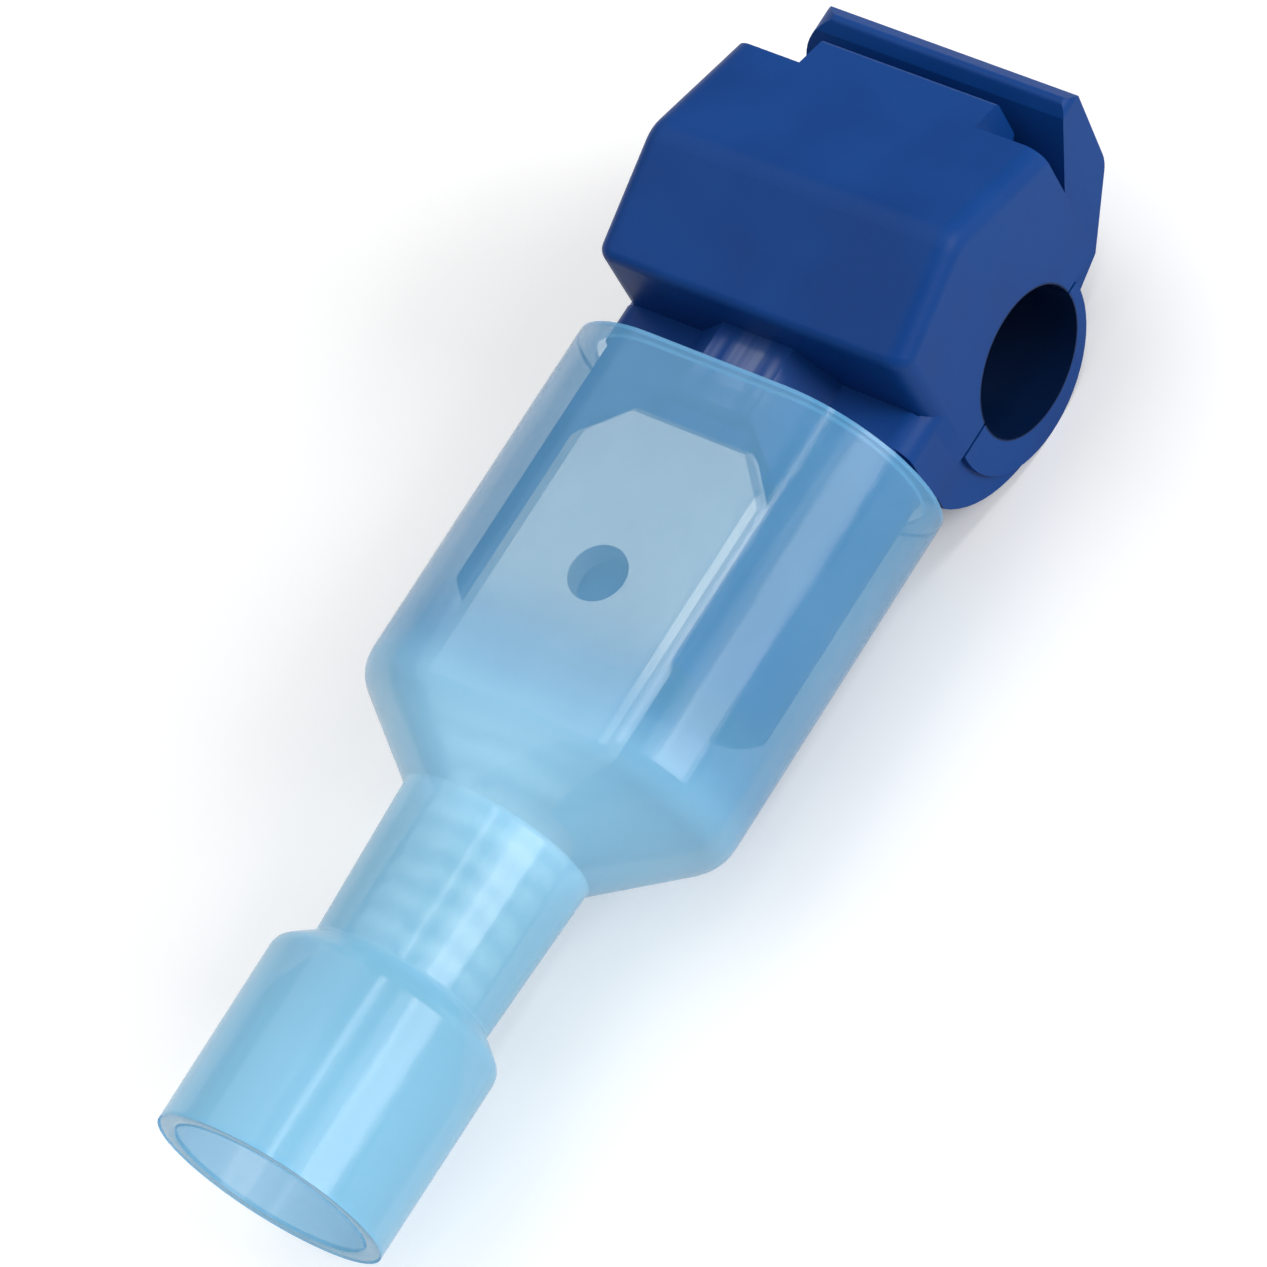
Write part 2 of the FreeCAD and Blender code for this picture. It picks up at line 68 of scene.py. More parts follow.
# %% [markdown]
# ## The camera
# A real lens stood in front of the part and a little above it, turned so that the plug runs from the lower
# left to the upper right. The place could be guessed by eye and nudged. Here it was worked out from known
# corners of the head and the tab, so the values are simply written down: where the lens is, what it looks
# at, and how far it is rolled about its own axis.

# %% Camera
camera_place = Vector((-70.60, -130.60, 206.25)) * MM
camera_aim = Vector((-0.053, -0.388, 4.831)) * MM
camera_roll = math.radians(33.65)
camera_lens = 262.4


def add_camera():
    """A camera at the measured place, rolled clockwise about its line of sight."""
    data = bpy.data.cameras.new("camera")
    data.lens = camera_lens
    data.sensor_width = 36.0
    data.clip_start = 0.01
    data.clip_end = 10.0
    camera = bpy.data.objects.new("camera", data)
    camera.location = camera_place
    camera.rotation_mode = "QUATERNION"
    aim = (camera_aim - camera_place).to_track_quat("-Z", "Y")
    camera.rotation_quaternion = aim @ Quaternion((0, 0, 1), -camera_roll)
    bpy.context.scene.collection.objects.link(camera)
    bpy.context.scene.camera = camera


add_camera()
print("camera is", round((camera_place - camera_aim).length / MM), "mm from the part")

# %% [markdown]
# ## Node helpers
# The materials below are built from a few short steps: pick a place on the part, turn it into a mask from 0
# to 1, and spread that mask over a range of roughness or use it to mix two colours. Each step is one small
# function, so a material reads like a list of what is different where.

# %% Node helpers


def link(tree, source, target):
    tree.links.new(source, target)


def new_node(tree, kind, **values):
    """A node with its input sockets or properties set by name."""
    node = tree.nodes.new(kind)
    for name, value in values.items():
        if name in node.inputs:
            node.inputs[name].default_value = value
        else:
            setattr(node, name, value)
    return node


def both(tree, first, second, operation="MULTIPLY", clamp=False):
    """Two masks joined in one."""
    join = new_node(tree, "ShaderNodeMath", operation=operation, use_clamp=clamp)
    link(tree, first, join.inputs[0])
    link(tree, second, join.inputs[1])
    return join.outputs["Value"]


def ramp(tree, value, none, full, interpolation="LINEAR"):
    """0 at none and 1 at full."""
    rise = new_node(tree, "ShaderNodeMapRange", interpolation_type=interpolation)
    rise.inputs["From Min"].default_value = none
    rise.inputs["From Max"].default_value = full
    link(tree, value, rise.inputs["Value"])
    return rise.outputs["Result"]


def spread(tree, mask, low, high):
    """A mask from 0 to 1 spread between low and high."""
    wide = new_node(tree, "ShaderNodeMapRange")
    wide.inputs["To Min"].default_value = low
    wide.inputs["To Max"].default_value = high
    link(tree, mask, wide.inputs["Value"])
    return wide.outputs["Result"]


def along_plug(tree, place, full, none):
    """1 at full and 0 at none along the plug, with a soft change between them."""
    axes = tree.nodes.new("ShaderNodeSeparateXYZ")
    link(tree, place, axes.inputs["Vector"])
    return ramp(tree, axes.outputs["X"], none, full, "SMOOTHSTEP")


def outward(tree, vector):
    """How far a vector points or lies away from the part's middle plane."""
    axes = tree.nodes.new("ShaderNodeSeparateXYZ")
    link(tree, vector, axes.inputs["Vector"])
    size = new_node(tree, "ShaderNodeMath", operation="ABSOLUTE")
    link(tree, axes.outputs["Y"], size.inputs[0])
    return size.outputs["Value"]


def near_point(tree, place, keep, point, core, edge):
    """1 within the core distance of a point and 0 beyond the edge; keep says which axes count."""
    flat = new_node(tree, "ShaderNodeVectorMath", operation="MULTIPLY")
    flat.inputs[1].default_value = keep
    link(tree, place, flat.inputs[0])
    gap = new_node(tree, "ShaderNodeVectorMath", operation="DISTANCE")
    gap.inputs[1].default_value = [k * v for k, v in zip(keep, point)]
    link(tree, flat.outputs["Vector"], gap.inputs[0])
    return ramp(tree, gap.outputs["Value"], edge, core)


def bump_normal(tree, height, distance, strength, under=None):
    """The normal of a surface with a height on it, on top of the normal under it."""
    bump = new_node(tree, "ShaderNodeBump", Strength=strength, Distance=distance)
    link(tree, height, bump.inputs["Height"])
    if under is not None:
        link(tree, under, bump.inputs["Normal"])
    return bump.outputs["Normal"]


def mix_colours(tree, factor, first, second):
    """A colour mix node; first and second are sockets or plain colours."""
    mix = tree.nodes.new("ShaderNodeMix")
    mix.data_type = "RGBA"
    for name, value in (("Factor", factor), ("A", first), ("B", second)):
        socket = [s for s in mix.inputs if s.name == name and s.enabled][0]
        if isinstance(value, bpy.types.NodeSocket):
            link(tree, value, socket)
        else:
            socket.default_value = value
    return [s for s in mix.outputs if s.enabled][0]


def grey(level):
    return (level, level, level, 1.0)


print("helpers ready for the paper, the world and the materials")

# %% [markdown]
# ## Floor and light
# Product pictures like this one are made in a light tent: even light from all round, one long soft box at
# the side that draws a clear streak on every round surface, and paper underneath. The world turns pure
# white only for the lens, so the white background adds no light to the part. The paper turns white for the
# lens, for mirrors and for clear walls. For all other light it is grey, and it still shows a soft shadow.

# %% Paper and world
paper_size = 1.6
paper_roughness = 0.9
paper_tone = 0.60
paper_lift = 0.10
tent_level = 0.42


def add_paper():
    """White paper under the part."""
    half = paper_size / 2
    corners = [(-half, -half, 0), (half, -half, 0), (half, half, 0), (-half, half, 0)]
    mesh = bpy.data.meshes.new("paper")
    mesh.from_pydata(corners, [], [(0, 1, 2, 3)])
    paper = bpy.data.objects.new("paper", mesh)
    bpy.context.scene.collection.objects.link(paper)
    material = bpy.data.materials.new("white_paper")
    material.use_nodes = True
    tree = material.node_tree
    shader = tree.nodes["Principled BSDF"]
    shader.inputs["Roughness"].default_value = paper_roughness
    shader.inputs["Specular IOR Level"].default_value = 0.0
    rays = tree.nodes.new("ShaderNodeLightPath").outputs
    seen = both(tree, rays["Is Camera Ray"], rays["Is Glossy Ray"], "MAXIMUM")
    seen = both(tree, seen, rays["Is Transmission Ray"], "MAXIMUM")
    link(tree, mix_colours(tree, seen, grey(paper_tone), grey(1.0)), shader.inputs["Base Color"])
    lift = mix_colours(tree, rays["Is Camera Ray"], grey(0.0), grey(paper_lift))
    link(tree, lift, shader.inputs["Emission Color"])
    shader.inputs["Emission Strength"].default_value = 1.0
    mesh.materials.append(material)


def set_world():
    """Even tent light, seen as plain white by the lens."""
    world = bpy.data.worlds.new("tent")
    world.use_nodes = True
    tree = world.node_tree
    sky = tree.nodes["Background"]
    rays = tree.nodes.new("ShaderNodeLightPath").outputs
    link(tree, spread(tree, rays["Is Camera Ray"], tent_level, 1.0), sky.inputs["Strength"])
    sky.inputs["Color"].default_value = grey(1.0)
    bpy.context.scene.world = world


add_paper()
set_world()
bpy.context.scene.view_settings.view_transform = "Standard"
print("paper", paper_size, "m wide, tent level", tent_level)

# %% [markdown]
# The broad streaks on the sleeve, its neck and its funnel all lie where the skin faces the same way.
# Mirroring the line of sight in that direction gives the place of the soft box: low at the near side, and
# tall. A weaker panel above it feathers the streak's upper edge. A second, thin line runs beside the tab and
# down the neck, so a narrow strip stands higher up. The wide panel behind the part is what the flat tin of
# the tab mirrors.

# %% Lamps
lamp_distance = 0.60


def add_panel(name, direction, width, height, power):
    """A soft box that faces the part, with its width along the plug."""
    data = bpy.data.lights.new(name, "AREA")
    data.shape = "RECTANGLE"
    data.size = width
    data.size_y = height
    data.energy = power
    lamp = bpy.data.objects.new(name, data)
    away = Vector(direction).normalized()
    level = (Vector((1, 0, 0)) - away * away.x).normalized()
    turn = Matrix((level, away.cross(level), away)).transposed()
    lamp.location = away * lamp_distance
    lamp.rotation_mode = "QUATERNION"
    lamp.rotation_quaternion = turn.to_quaternion()
    bpy.context.scene.collection.objects.link(lamp)
    return lamp


side_box = add_panel("side_box", (0.28, -0.86, 0.43), width=0.26, height=0.33, power=1.9)
feather_panel = add_panel("feather_panel", (0.28, -0.66, 0.70), width=0.26, height=0.18, power=0.42)
strip_box = add_panel("strip_box", (0.28, -0.25, 0.93), width=0.30, height=0.05, power=0.42)
top_panel = add_panel("top_panel", (0.10, 0.45, 0.88), width=0.60, height=0.50, power=1.2)
print("lamps", [lamp.name for lamp in (side_box, feather_panel, strip_box, top_panel)])

# %% [markdown]
# ## What moulds and rolls leave behind
# A steel mould leaves a very fine grain where it was spark-finished, and slow clouds where the melt cooled at
# different speeds. Rolled sheet has much the same two scales. Where a core or another part is drawn along a
# surface, it leaves fine lines along X. Two node groups give these as plain values, and every material sets
# its own scale. The shaders stay outside the groups, so that each material is complete by itself.

# %% Grain and line groups
cloud_band = (0.35, 0.65)
line_band = (0.34, 0.66)
line_stretch = (0.04, 1.0, 1.0)


def new_group(name, values, outputs):
    """A node group with a Place input, number inputs with their values, and number outputs."""
    group = bpy.data.node_groups.new(name, "ShaderNodeTree")
    group.interface.new_socket("Place", in_out="INPUT", socket_type="NodeSocketVector")
    for socket, value in values.items():
        number = group.interface.new_socket(socket, in_out="INPUT", socket_type="NodeSocketFloat")
        number.default_value = value
    for socket in outputs:
        group.interface.new_socket(socket, in_out="OUTPUT", socket_type="NodeSocketFloat")
    return group, group.nodes.new("NodeGroupInput"), group.nodes.new("NodeGroupOutput")


def moulding_grain_group():
    """Grain, a fine height, and Clouds, a slow mask."""
    group, ways_in, ways_out = new_group("moulding_grain", {"Grain Scale": 5000.0, "Cloud Scale": 220.0},
                                         ("Grain", "Clouds"))
    fine = new_node(group, "ShaderNodeTexNoise", Detail=3.0, Roughness=0.6)
    slow = new_node(group, "ShaderNodeTexNoise", Detail=2.0, Roughness=0.5)
    for noise, scale in ((fine, "Grain Scale"), (slow, "Cloud Scale")):
        link(group, ways_in.outputs["Place"], noise.inputs["Vector"])
        link(group, ways_in.outputs[scale], noise.inputs["Scale"])
    link(group, fine.outputs["Fac"], ways_out.inputs["Grain"])
    link(group, ramp(group, slow.outputs["Fac"], *cloud_band), ways_out.inputs["Clouds"])
    return group


def drawn_lines_group():
    """Lines: fine streaks along X, made by stretching a noise that way."""
    group, ways_in, ways_out = new_group("drawn_lines", {"Scale": 2400.0}, ("Lines",))
    stretch = new_node(group, "ShaderNodeVectorMath", operation="MULTIPLY")
    stretch.inputs[1].default_value = line_stretch
    noise = new_node(group, "ShaderNodeTexNoise", Detail=2.0, Roughness=0.55)
    link(group, ways_in.outputs["Place"], stretch.inputs[0])
    link(group, stretch.outputs["Vector"], noise.inputs["Vector"])
    link(group, ways_in.outputs["Scale"], noise.inputs["Scale"])
    link(group, ramp(group, noise.outputs["Fac"], *line_band), ways_out.inputs["Lines"])
    return group


grain_group = moulding_grain_group()
lines_group = drawn_lines_group()


def drawn_lines(tree, place, scale):
    """The drawn lines placed in a material."""
    lines = tree.nodes.new("ShaderNodeGroup")
    lines.node_tree = lines_group
    lines.inputs["Scale"].default_value = scale
    link(tree, place, lines.inputs["Place"])
    return lines.outputs["Lines"]


def start_material(name, grain_scale, cloud_scale):
    """A material's tree, shader and object coordinates, with its grain and its clouds."""
    material = bpy.data.materials.new(name)
    material.use_nodes = True
    tree = material.node_tree
    place = tree.nodes.new("ShaderNodeTexCoord").outputs["Object"]
    grain = tree.nodes.new("ShaderNodeGroup")
    grain.node_tree = grain_group
    link(tree, place, grain.inputs["Place"])
    grain.inputs["Grain Scale"].default_value = grain_scale
    grain.inputs["Cloud Scale"].default_value = cloud_scale
    shader = tree.nodes["Principled BSDF"]
    return material, tree, shader, place, grain.outputs["Grain"], grain.outputs["Clouds"]


def dress(names, material):
    """Give kept solids their finish."""
    for name in names:
        for slot in nodes[name].material_slots:
            slot.material = material
        if not nodes[name].material_slots:
            nodes[name].data.materials.append(material)
    print("dressed", ", ".join(names), "in", material.name)


for group in (grain_group, lines_group):
    print("group", group.name, "has", [socket.name for socket in group.interface.items_tree])

# %% [markdown]
# ## Dark-blue polypropylene
# The head, the cap and their hinge are one moulding in a satin polypropylene. It is a soft, waxy plastic, so
# its shine is weak and broad. Over the small hump it is glossier, where the plug has been pushed on, and fine
# pale lines there are painted highlights that stand in for glints. Inside the wire's bore little light arrives,
# so its colour is painted darker there as painted shade. The base colour is dark and full, and the clouds
# shift it only slightly.

# %% Dark-blue polypropylene
deep_blue = (0.0030, 0.043, 0.208, 1.0)
lighter_blue = (0.0045, 0.053, 0.240, 1.0)
bore_shade_blue = (0.0012, 0.012, 0.055, 1.0)
painted_glint_blue = (0.045, 0.095, 0.27, 1.0)
satin_roughness = (0.36, 0.46)
satin_shine = 0.12
rubbed_roughness = 0.14
rubbed_glint_line_scale = 2400.0
wire_bore = [mount for mount in frame["record"]["mounts"] if mount["name"] == "run_wire_right"][0]
bore_x, bore_z = wire_bore["pos_m"][0], wire_bore["pos_m"][2]
wire_bore_r = 2.24 * MM
bore_core_r = wire_bore_r + 0.02 * MM
bore_edge_r = wire_bore_r + 0.06 * MM
hump_middle = (bore_x - 5.10 * MM, 0, bore_z + 4.05 * MM)
hump_core_r = 1.00 * MM
hump_edge_r = 1.50 * MM


def blue_polypropylene():
    material, tree, shader, place, grain, clouds = start_material(
        "blue_polypropylene", grain_scale=9000.0, cloud_scale=260.0)
    on_hump = near_point(tree, place, (1, 1, 1), hump_middle, hump_core_r, hump_edge_r)
    # Painted highlight: fine pale lines on the hump, which also carry the coat's real gloss.
    rubbed_and_glints = both(tree, on_hump, drawn_lines(tree, place, rubbed_glint_line_scale))
    # Painted shade: the bore's walls get a darker base colour.
    in_bore = near_point(tree, place, (1, 0, 1), (bore_x, 0, bore_z), bore_core_r, bore_edge_r)
    colour = mix_colours(tree, clouds, deep_blue, lighter_blue)
    colour = mix_colours(tree, rubbed_and_glints, colour, painted_glint_blue)
    link(tree, mix_colours(tree, in_bore, colour, bore_shade_blue), shader.inputs["Base Color"])
    link(tree, spread(tree, clouds, *satin_roughness), shader.inputs["Roughness"])
    shader.inputs["Specular IOR Level"].default_value = satin_shine
    link(tree, rubbed_and_glints, shader.inputs["Coat Weight"])
    shader.inputs["Coat Roughness"].default_value = rubbed_roughness
    link(tree, bump_normal(tree, grain, distance=0.01 * MM, strength=0.3), shader.inputs["Normal"])
    return material


blue = blue_polypropylene()
dress(("socket_half", "hinged_cap"), blue)

# %% [markdown]
# ## Tin-plated sheet
# The tab, its barrel and the tap's contact are brass sheet with a matt tin coat. Bare tin mirrors the tent
# softly. Three places differ from the flat sheet. Where the press has bent or sheared it, the colour is painted
# paler and less metallic: painted light that lifts the bent part and the tab's side faces, which would fall
# dark. The tab's long edges are coined, so they lean outwards and catch the light as a bright line. The
# barrel has serrations inside that print through as faint rings, with painted shade darkening their grooves.
# Masks made from the position and from the direction a face looks in find these places, so nothing has to
# be painted by hand. A wave texture draws about three waves in a metre at scale 1, so its scale follows from
# the pitch of the serrations.

# %% Tin-plated sheet
tin_tone = (0.87, 0.85, 0.75, 1.0)
tin_dull = (0.79, 0.77, 0.68, 1.0)
tin_lift_colour = (0.93, 0.91, 0.80, 1.0)
tin_groove_shade = (0.55, 0.57, 0.55, 1.0)
tin_metallic = (0.9, 0.25)
tin_roughness = (0.40, 0.55)
terminal_low, terminal_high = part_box("male_tab_terminal")
rolled_to = terminal_low[0] + 6.5 * MM
rolled_fades_at = terminal_low[0] + 7.4 * MM
formed_to = terminal_low[0] + 8.6 * MM
formed_fades_at = terminal_low[0] + 10.0 * MM
sheared_facing = (0.50, 0.65)
sheared_y = (1.9 * MM, 2.1 * MM)
coin_inner_y = 2.90 * MM
coin_outer_y = 3.175 * MM
coin_drop = 0.14 * MM
serration_pitch = 0.93 * MM
waves_at_scale_one = 3.1
wave_wobble = 3.0


def tinned_sheet():
    material, tree, shader, place, grain, clouds = start_material(
        "tinned_brass", grain_scale=7000.0, cloud_scale=600.0)
    from_middle = outward(tree, place)
    facing = outward(tree, tree.nodes.new("ShaderNodeTexCoord").outputs["Normal"])
    rolled = along_plug(tree, place, rolled_to, rolled_fades_at)
    formed = along_plug(tree, place, formed_to, formed_fades_at)
    # Painted light: the bent part and the sheared side faces get a paler, less metallic colour, so they don't fall
    # dark.
    sheared = both(tree, ramp(tree, facing, *sheared_facing), ramp(tree, from_middle, *sheared_y))
    painted_lift = both(tree, formed, sheared, "MAXIMUM")
    wave_scale = 1.0 / serration_pitch / waves_at_scale_one
    rings = new_node(tree, "ShaderNodeTexWave", Scale=wave_scale, Distortion=wave_wobble)
    rings.inputs["Detail Scale"].default_value = 2.0
    link(tree, place, rings.inputs["Vector"])
    # Painted shade: the ring grooves get a darker grey; the same rings also dent the normal below.
    printed_rings_and_shade = both(tree, rings.outputs["Fac"], rolled)
    colour = mix_colours(tree, clouds, tin_dull, tin_tone)
    colour = mix_colours(tree, painted_lift, colour, tin_lift_colour)
    link(tree, mix_colours(tree, printed_rings_and_shade, colour, tin_groove_shade), shader.inputs["Base Color"])
    link(tree, spread(tree, painted_lift, *tin_metallic), shader.inputs["Metallic"])
    dull = both(tree, spread(tree, clouds, *tin_roughness), rolled, "MAXIMUM")
    link(tree, dull, shader.inputs["Roughness"])
    crown = ramp(tree, from_middle, coin_outer_y, coin_inner_y)
    coined = bump_normal(tree, crown, distance=coin_drop, strength=1.0)
    grained = bump_normal(tree, grain, distance=0.02 * MM, strength=0.4, under=coined)
    ringed = bump_normal(tree, printed_rings_and_shade, distance=0.06 * MM, strength=0.5, under=grained)
    link(tree, ringed, shader.inputs["Normal"])
    return material


tin = tinned_sheet()
dress(("male_tab_terminal", "tap_contact"), tin)

# %% [markdown]
# ## Pale nylon
# The sleeve is a thin nylon moulding that is neither clear nor solid: milky, so that the tab shows through
# with soft contrast. Glass with volume scatter would be the physical answer, but it is slow and does not
# travel to other programs. Instead each skin of the wall covers part of what lies behind it, like a thin
# coat of milk. The outer skin carries most of the cover and all the gloss. The inner skin is nearly clear
# over the tab and only grows milky further back, where the real wall is thicker: at the cone and round the
# barrel. Walls that are seen edge-on grow denser by themselves. Light on its way to the metal passes more
# freely than the lens sees, because scattered light still arrives there.

# %% Pale nylon
milk_blue = (0.12, 0.385, 0.655, 1.0)
milk_pale = (0.14, 0.415, 0.69, 1.0)
milk_cone_thick_and_lit = (0.33, 0.70, 0.95, 1.0)
milk_thick = (0.24, 0.57, 0.80, 1.0)
milk_inside = (0.21, 0.49, 0.66, 1.0)
outer_cover, outer_thick_cover = 0.53, 0.64
inner_cover, inner_thick_cover = 0.04, 0.50
shadow_share = 0.12
edge_blend = 0.35
nylon_roughness = (0.10, 0.22)
nylon_line_scale = 3200.0
sleeve_low, sleeve_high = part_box("insulating_sleeve")
rim_x = sleeve_high[0]
thick_from, thick_full = rim_x - 7.0 * MM, rim_x - 12.0 * MM
pale_from, pale_full = rim_x - 9.8 * MM, rim_x - 12.8 * MM
rear_from, rear_full = rim_x - 13.0 * MM, rim_x - 16.0 * MM


def clear_nylon(name, rear_colour, front_cover, rear_cover, edge_gain, mirror):
    """One skin of the sleeve, with its cover over the tab and its cover further back."""
    material, tree, shader, place, grain, clouds = start_material(
        name, grain_scale=2600.0, cloud_scale=420.0)
    colour = mix_colours(tree, clouds, milk_blue, milk_pale)
    # The cone gets a paler colour: partly the thicker wall's scatter, partly painted light on faces that turn from
    # the lamps.
    on_cone = along_plug(tree, place, pale_full, pale_from)
    behind_cone = along_plug(tree, place, rear_full, rear_from)
    colour = mix_colours(tree, on_cone, colour, milk_cone_thick_and_lit)
    link(tree, mix_colours(tree, behind_cone, colour, rear_colour), shader.inputs["Base Color"])
    shader.inputs["Specular IOR Level"].default_value = mirror
    lines = drawn_lines(tree, place, nylon_line_scale)
    link(tree, spread(tree, lines, *nylon_roughness), shader.inputs["Roughness"])
    cover = spread(tree, along_plug(tree, place, thick_full, thick_from), front_cover, rear_cover)
    edge = new_node(tree, "ShaderNodeLayerWeight", Blend=edge_blend)
    density = both(tree, cover, spread(tree, edge.outputs["Facing"], 1.0, edge_gain))
    rays = tree.nodes.new("ShaderNodeLightPath").outputs
    passing = spread(tree, rays["Is Shadow Ray"], 1.0, shadow_share)
    link(tree, both(tree, density, passing, clamp=True), shader.inputs["Alpha"])
    grained = bump_normal(tree, grain, distance=0.015 * MM, strength=0.35)
    lined = bump_normal(tree, lines, distance=0.004 * MM, strength=0.5, under=grained)
    link(tree, lined, shader.inputs["Normal"])
    return material


nylon = clear_nylon("clear_blue_nylon", milk_thick, outer_cover, outer_thick_cover,
                    edge_gain=1.3, mirror=0.42)
inner_nylon = clear_nylon("clear_blue_nylon_inside", milk_inside, inner_cover, inner_thick_cover,
                          edge_gain=1.0, mirror=0.20)
print("the outer skin covers", outer_cover, "to", outer_thick_cover)
print("the inner skin covers", inner_cover, "to", inner_thick_cover)

# %% [markdown]
# ## The sleeve
# The real sleeve is one moulding: a flattened hood, a short cone, a round neck that grips the barrel, and a
# funnel that leads the wire in. Every cut across it is a round or a flattened round, so the mesh is a row of
# such rings, laid from the hood's mouth along the outside, round the funnel's rim and back along the inside.
# A subdivision surface would need extra loops at every crisp corner. Plain rings, close together where the
# form bends, keep full control of the corners. Each corner is rounded over a small span of its own. The two
# bends of the cone sit a little further ahead inside than outside, so that the wall keeps its thickness.

# %% Sleeve stations
mouth_x = sleeve_low[0]
sleeve_axis_z = (sleeve_low[2] + sleeve_high[2]) / 2
hood_half_width = sleeve_high[1]
hood_half_depth = (sleeve_high[2] - sleeve_low[2]) / 2
hood_wall = 0.60 * MM
hood_length = 11.55 * MM
cone_length = 2.40 * MM
neck_length = 4.90 * MM
neck_front_r = 2.86 * MM
neck_rear_r = 2.67 * MM
bore_r = 2.05 * MM
funnel_shoulder = 0.70 * MM
funnel_r = 3.50 * MM
funnel_mouth_r = 3.46 * MM
funnel_wall = 0.55 * MM
funnel_lead_in = 1.10 * MM
rim_round = 0.16 * MM
wall_lead = 0.27 * MM
outer_spans = (0.62 * MM, 0.12 * MM, 0.10 * MM, 0.30 * MM)
inner_spans = (0.40 * MM, 0.30 * MM, 0.30 * MM, 0.60 * MM)
corner_steps = 8
cone_x = rim_x - hood_length
neck_x = cone_x - cone_length
funnel_x = neck_x - neck_length
funnel_wide_x = funnel_x - funnel_shoulder


def soft_corner(before, corner, after, half_span):
    """Points of a small parabola that rounds the corner between two runs of (x, width, depth)."""
    before, corner, after = Vector(before), Vector(corner), Vector(after)
    start = corner + (before - corner).normalized() * half_span
    end = corner + (after - corner).normalized() * half_span
    points = []
    for i in range(corner_steps + 1):
        t = i / corner_steps
        points.append(start * (1 - t) ** 2 + corner * 2 * t * (1 - t) + end * t ** 2)
    return points


def rounded_run(corners, spans):
    """A run of stations through the corners, each rounded over its own span."""
    run = [Vector(corners[0])]
    for i in range(1, len(corners) - 1):
        run += soft_corner(corners[i - 1], corners[i], corners[i + 1], spans[i - 1])
    run.append(Vector(corners[-1]))
    return run


outer_corners = [
    (rim_x - rim_round, hood_half_width, hood_half_depth),
    (cone_x, hood_half_width, hood_half_depth),
    (neck_x, neck_front_r, neck_front_r),
    (funnel_x, neck_rear_r, neck_rear_r),
    (funnel_wide_x, funnel_r, funnel_r),
    (mouth_x + rim_round, funnel_mouth_r, funnel_mouth_r),
]
inner_corners = [
    (mouth_x + rim_round, funnel_mouth_r - funnel_wall, funnel_mouth_r - funnel_wall),
    (funnel_wide_x - funnel_lead_in, funnel_r - funnel_wall, funnel_r - funnel_wall),
    (funnel_x, bore_r, bore_r),
    (neck_x + wall_lead, bore_r, bore_r),
    (cone_x + wall_lead, hood_half_width - hood_wall, hood_half_depth - hood_wall),
    (rim_x - rim_round, hood_half_width - hood_wall, hood_half_depth - hood_wall),
]
outer_run = rounded_run(outer_corners, outer_spans)
inner_run = rounded_run(inner_corners, inner_spans)
print("outer stations", len(outer_run), "inner stations", len(inner_run))

# %% [markdown]
# Every ring has the same count of points, so neighbouring rings join into clean four-sided faces. A thin
# flat is kept even where the section is a full circle, because the count has to stay the same. The wall's
# square ends are rounded by a few more rings. The faces of the inner skin take the clearer nylon.

# %% Sleeve mesh
arc_steps = 30
flat_steps = 8
least_flat = 0.05 * MM
lip_steps = 5
station_gap = 0.8 * MM
smooth_angle = math.radians(35.0)


def ring_points(station):
    """Points of a flattened round across X, always the same count so that rings can be joined."""
    x, half_width, depth = station
    flat = max(half_width - depth, least_flat)
    points = []
    for side in (1, -1):
        for i in range(arc_steps):
            turn = math.pi * i / arc_steps - math.pi / 2
            y = side * (flat + depth * math.cos(turn))
            points.append((x, y, sleeve_axis_z + side * depth * math.sin(turn)))
        for i in range(flat_steps):
            points.append((x, side * (flat - 2 * flat * i / flat_steps), sleeve_axis_z + side * depth))
    return points


def lip_round(x, ahead, size, wall):
    """Stations round the square end of a wall, from its outer skin to its inner; ahead is 1 or -1."""
    wide, deep = size
    stations = []
    for outer in (True, False):
        for i in range(1, lip_steps):
            turn = math.radians(90 * i / lip_steps)
            inward = rim_round * (1 - math.cos(turn)) if outer else wall - rim_round * (1 - math.sin(turn))
            reach = rim_round * math.sin(turn) if outer else rim_round * math.cos(turn)
            stations.append(Vector((x + ahead * (reach - rim_round), wide - inward, deep - inward)))
    return stations


def add_rings(mesh, rings, closed=False):
    """Faces between neighbouring rings; a row that isn't closed gets a face at each end."""
    count = len(rings[0])
    pairs = list(zip(rings[:-1], rings[1:]))
    if closed:
        pairs.append((rings[-1], rings[0]))
    for first, second in pairs:
        for i in range(count):
            j = (i + 1) % count
            mesh.faces.new((first[i], first[j], second[j], second[i]))
    if not closed:
        mesh.faces.new(rings[0])
        mesh.faces.new(rings[-1])


def new_piece(name, mesh, material):
    """Turn a finished bmesh into an object with smooth skins and crisp corners."""
    bmesh.ops.recalc_face_normals(mesh, faces=mesh.faces)
    data = bpy.data.meshes.new(name)
    mesh.to_mesh(data)
    mesh.free()
    data.materials.append(material)
    data.shade_smooth()
    data.set_sharp_from_angle(angle=smooth_angle)
    piece = bpy.data.objects.new(name, data)
    bpy.context.scene.collection.objects.link(piece)
    return piece


def split_long(run, longest):
    """Extra stations on the long straight stretches."""
    full = [run[0]]
    for point in run[1:]:
        steps = max(1, math.ceil(abs(point[0] - full[-1][0]) / longest))
        start = full[-1].copy()
        for i in range(1, steps + 1):
            full.append(start.lerp(point, i / steps))
    return full


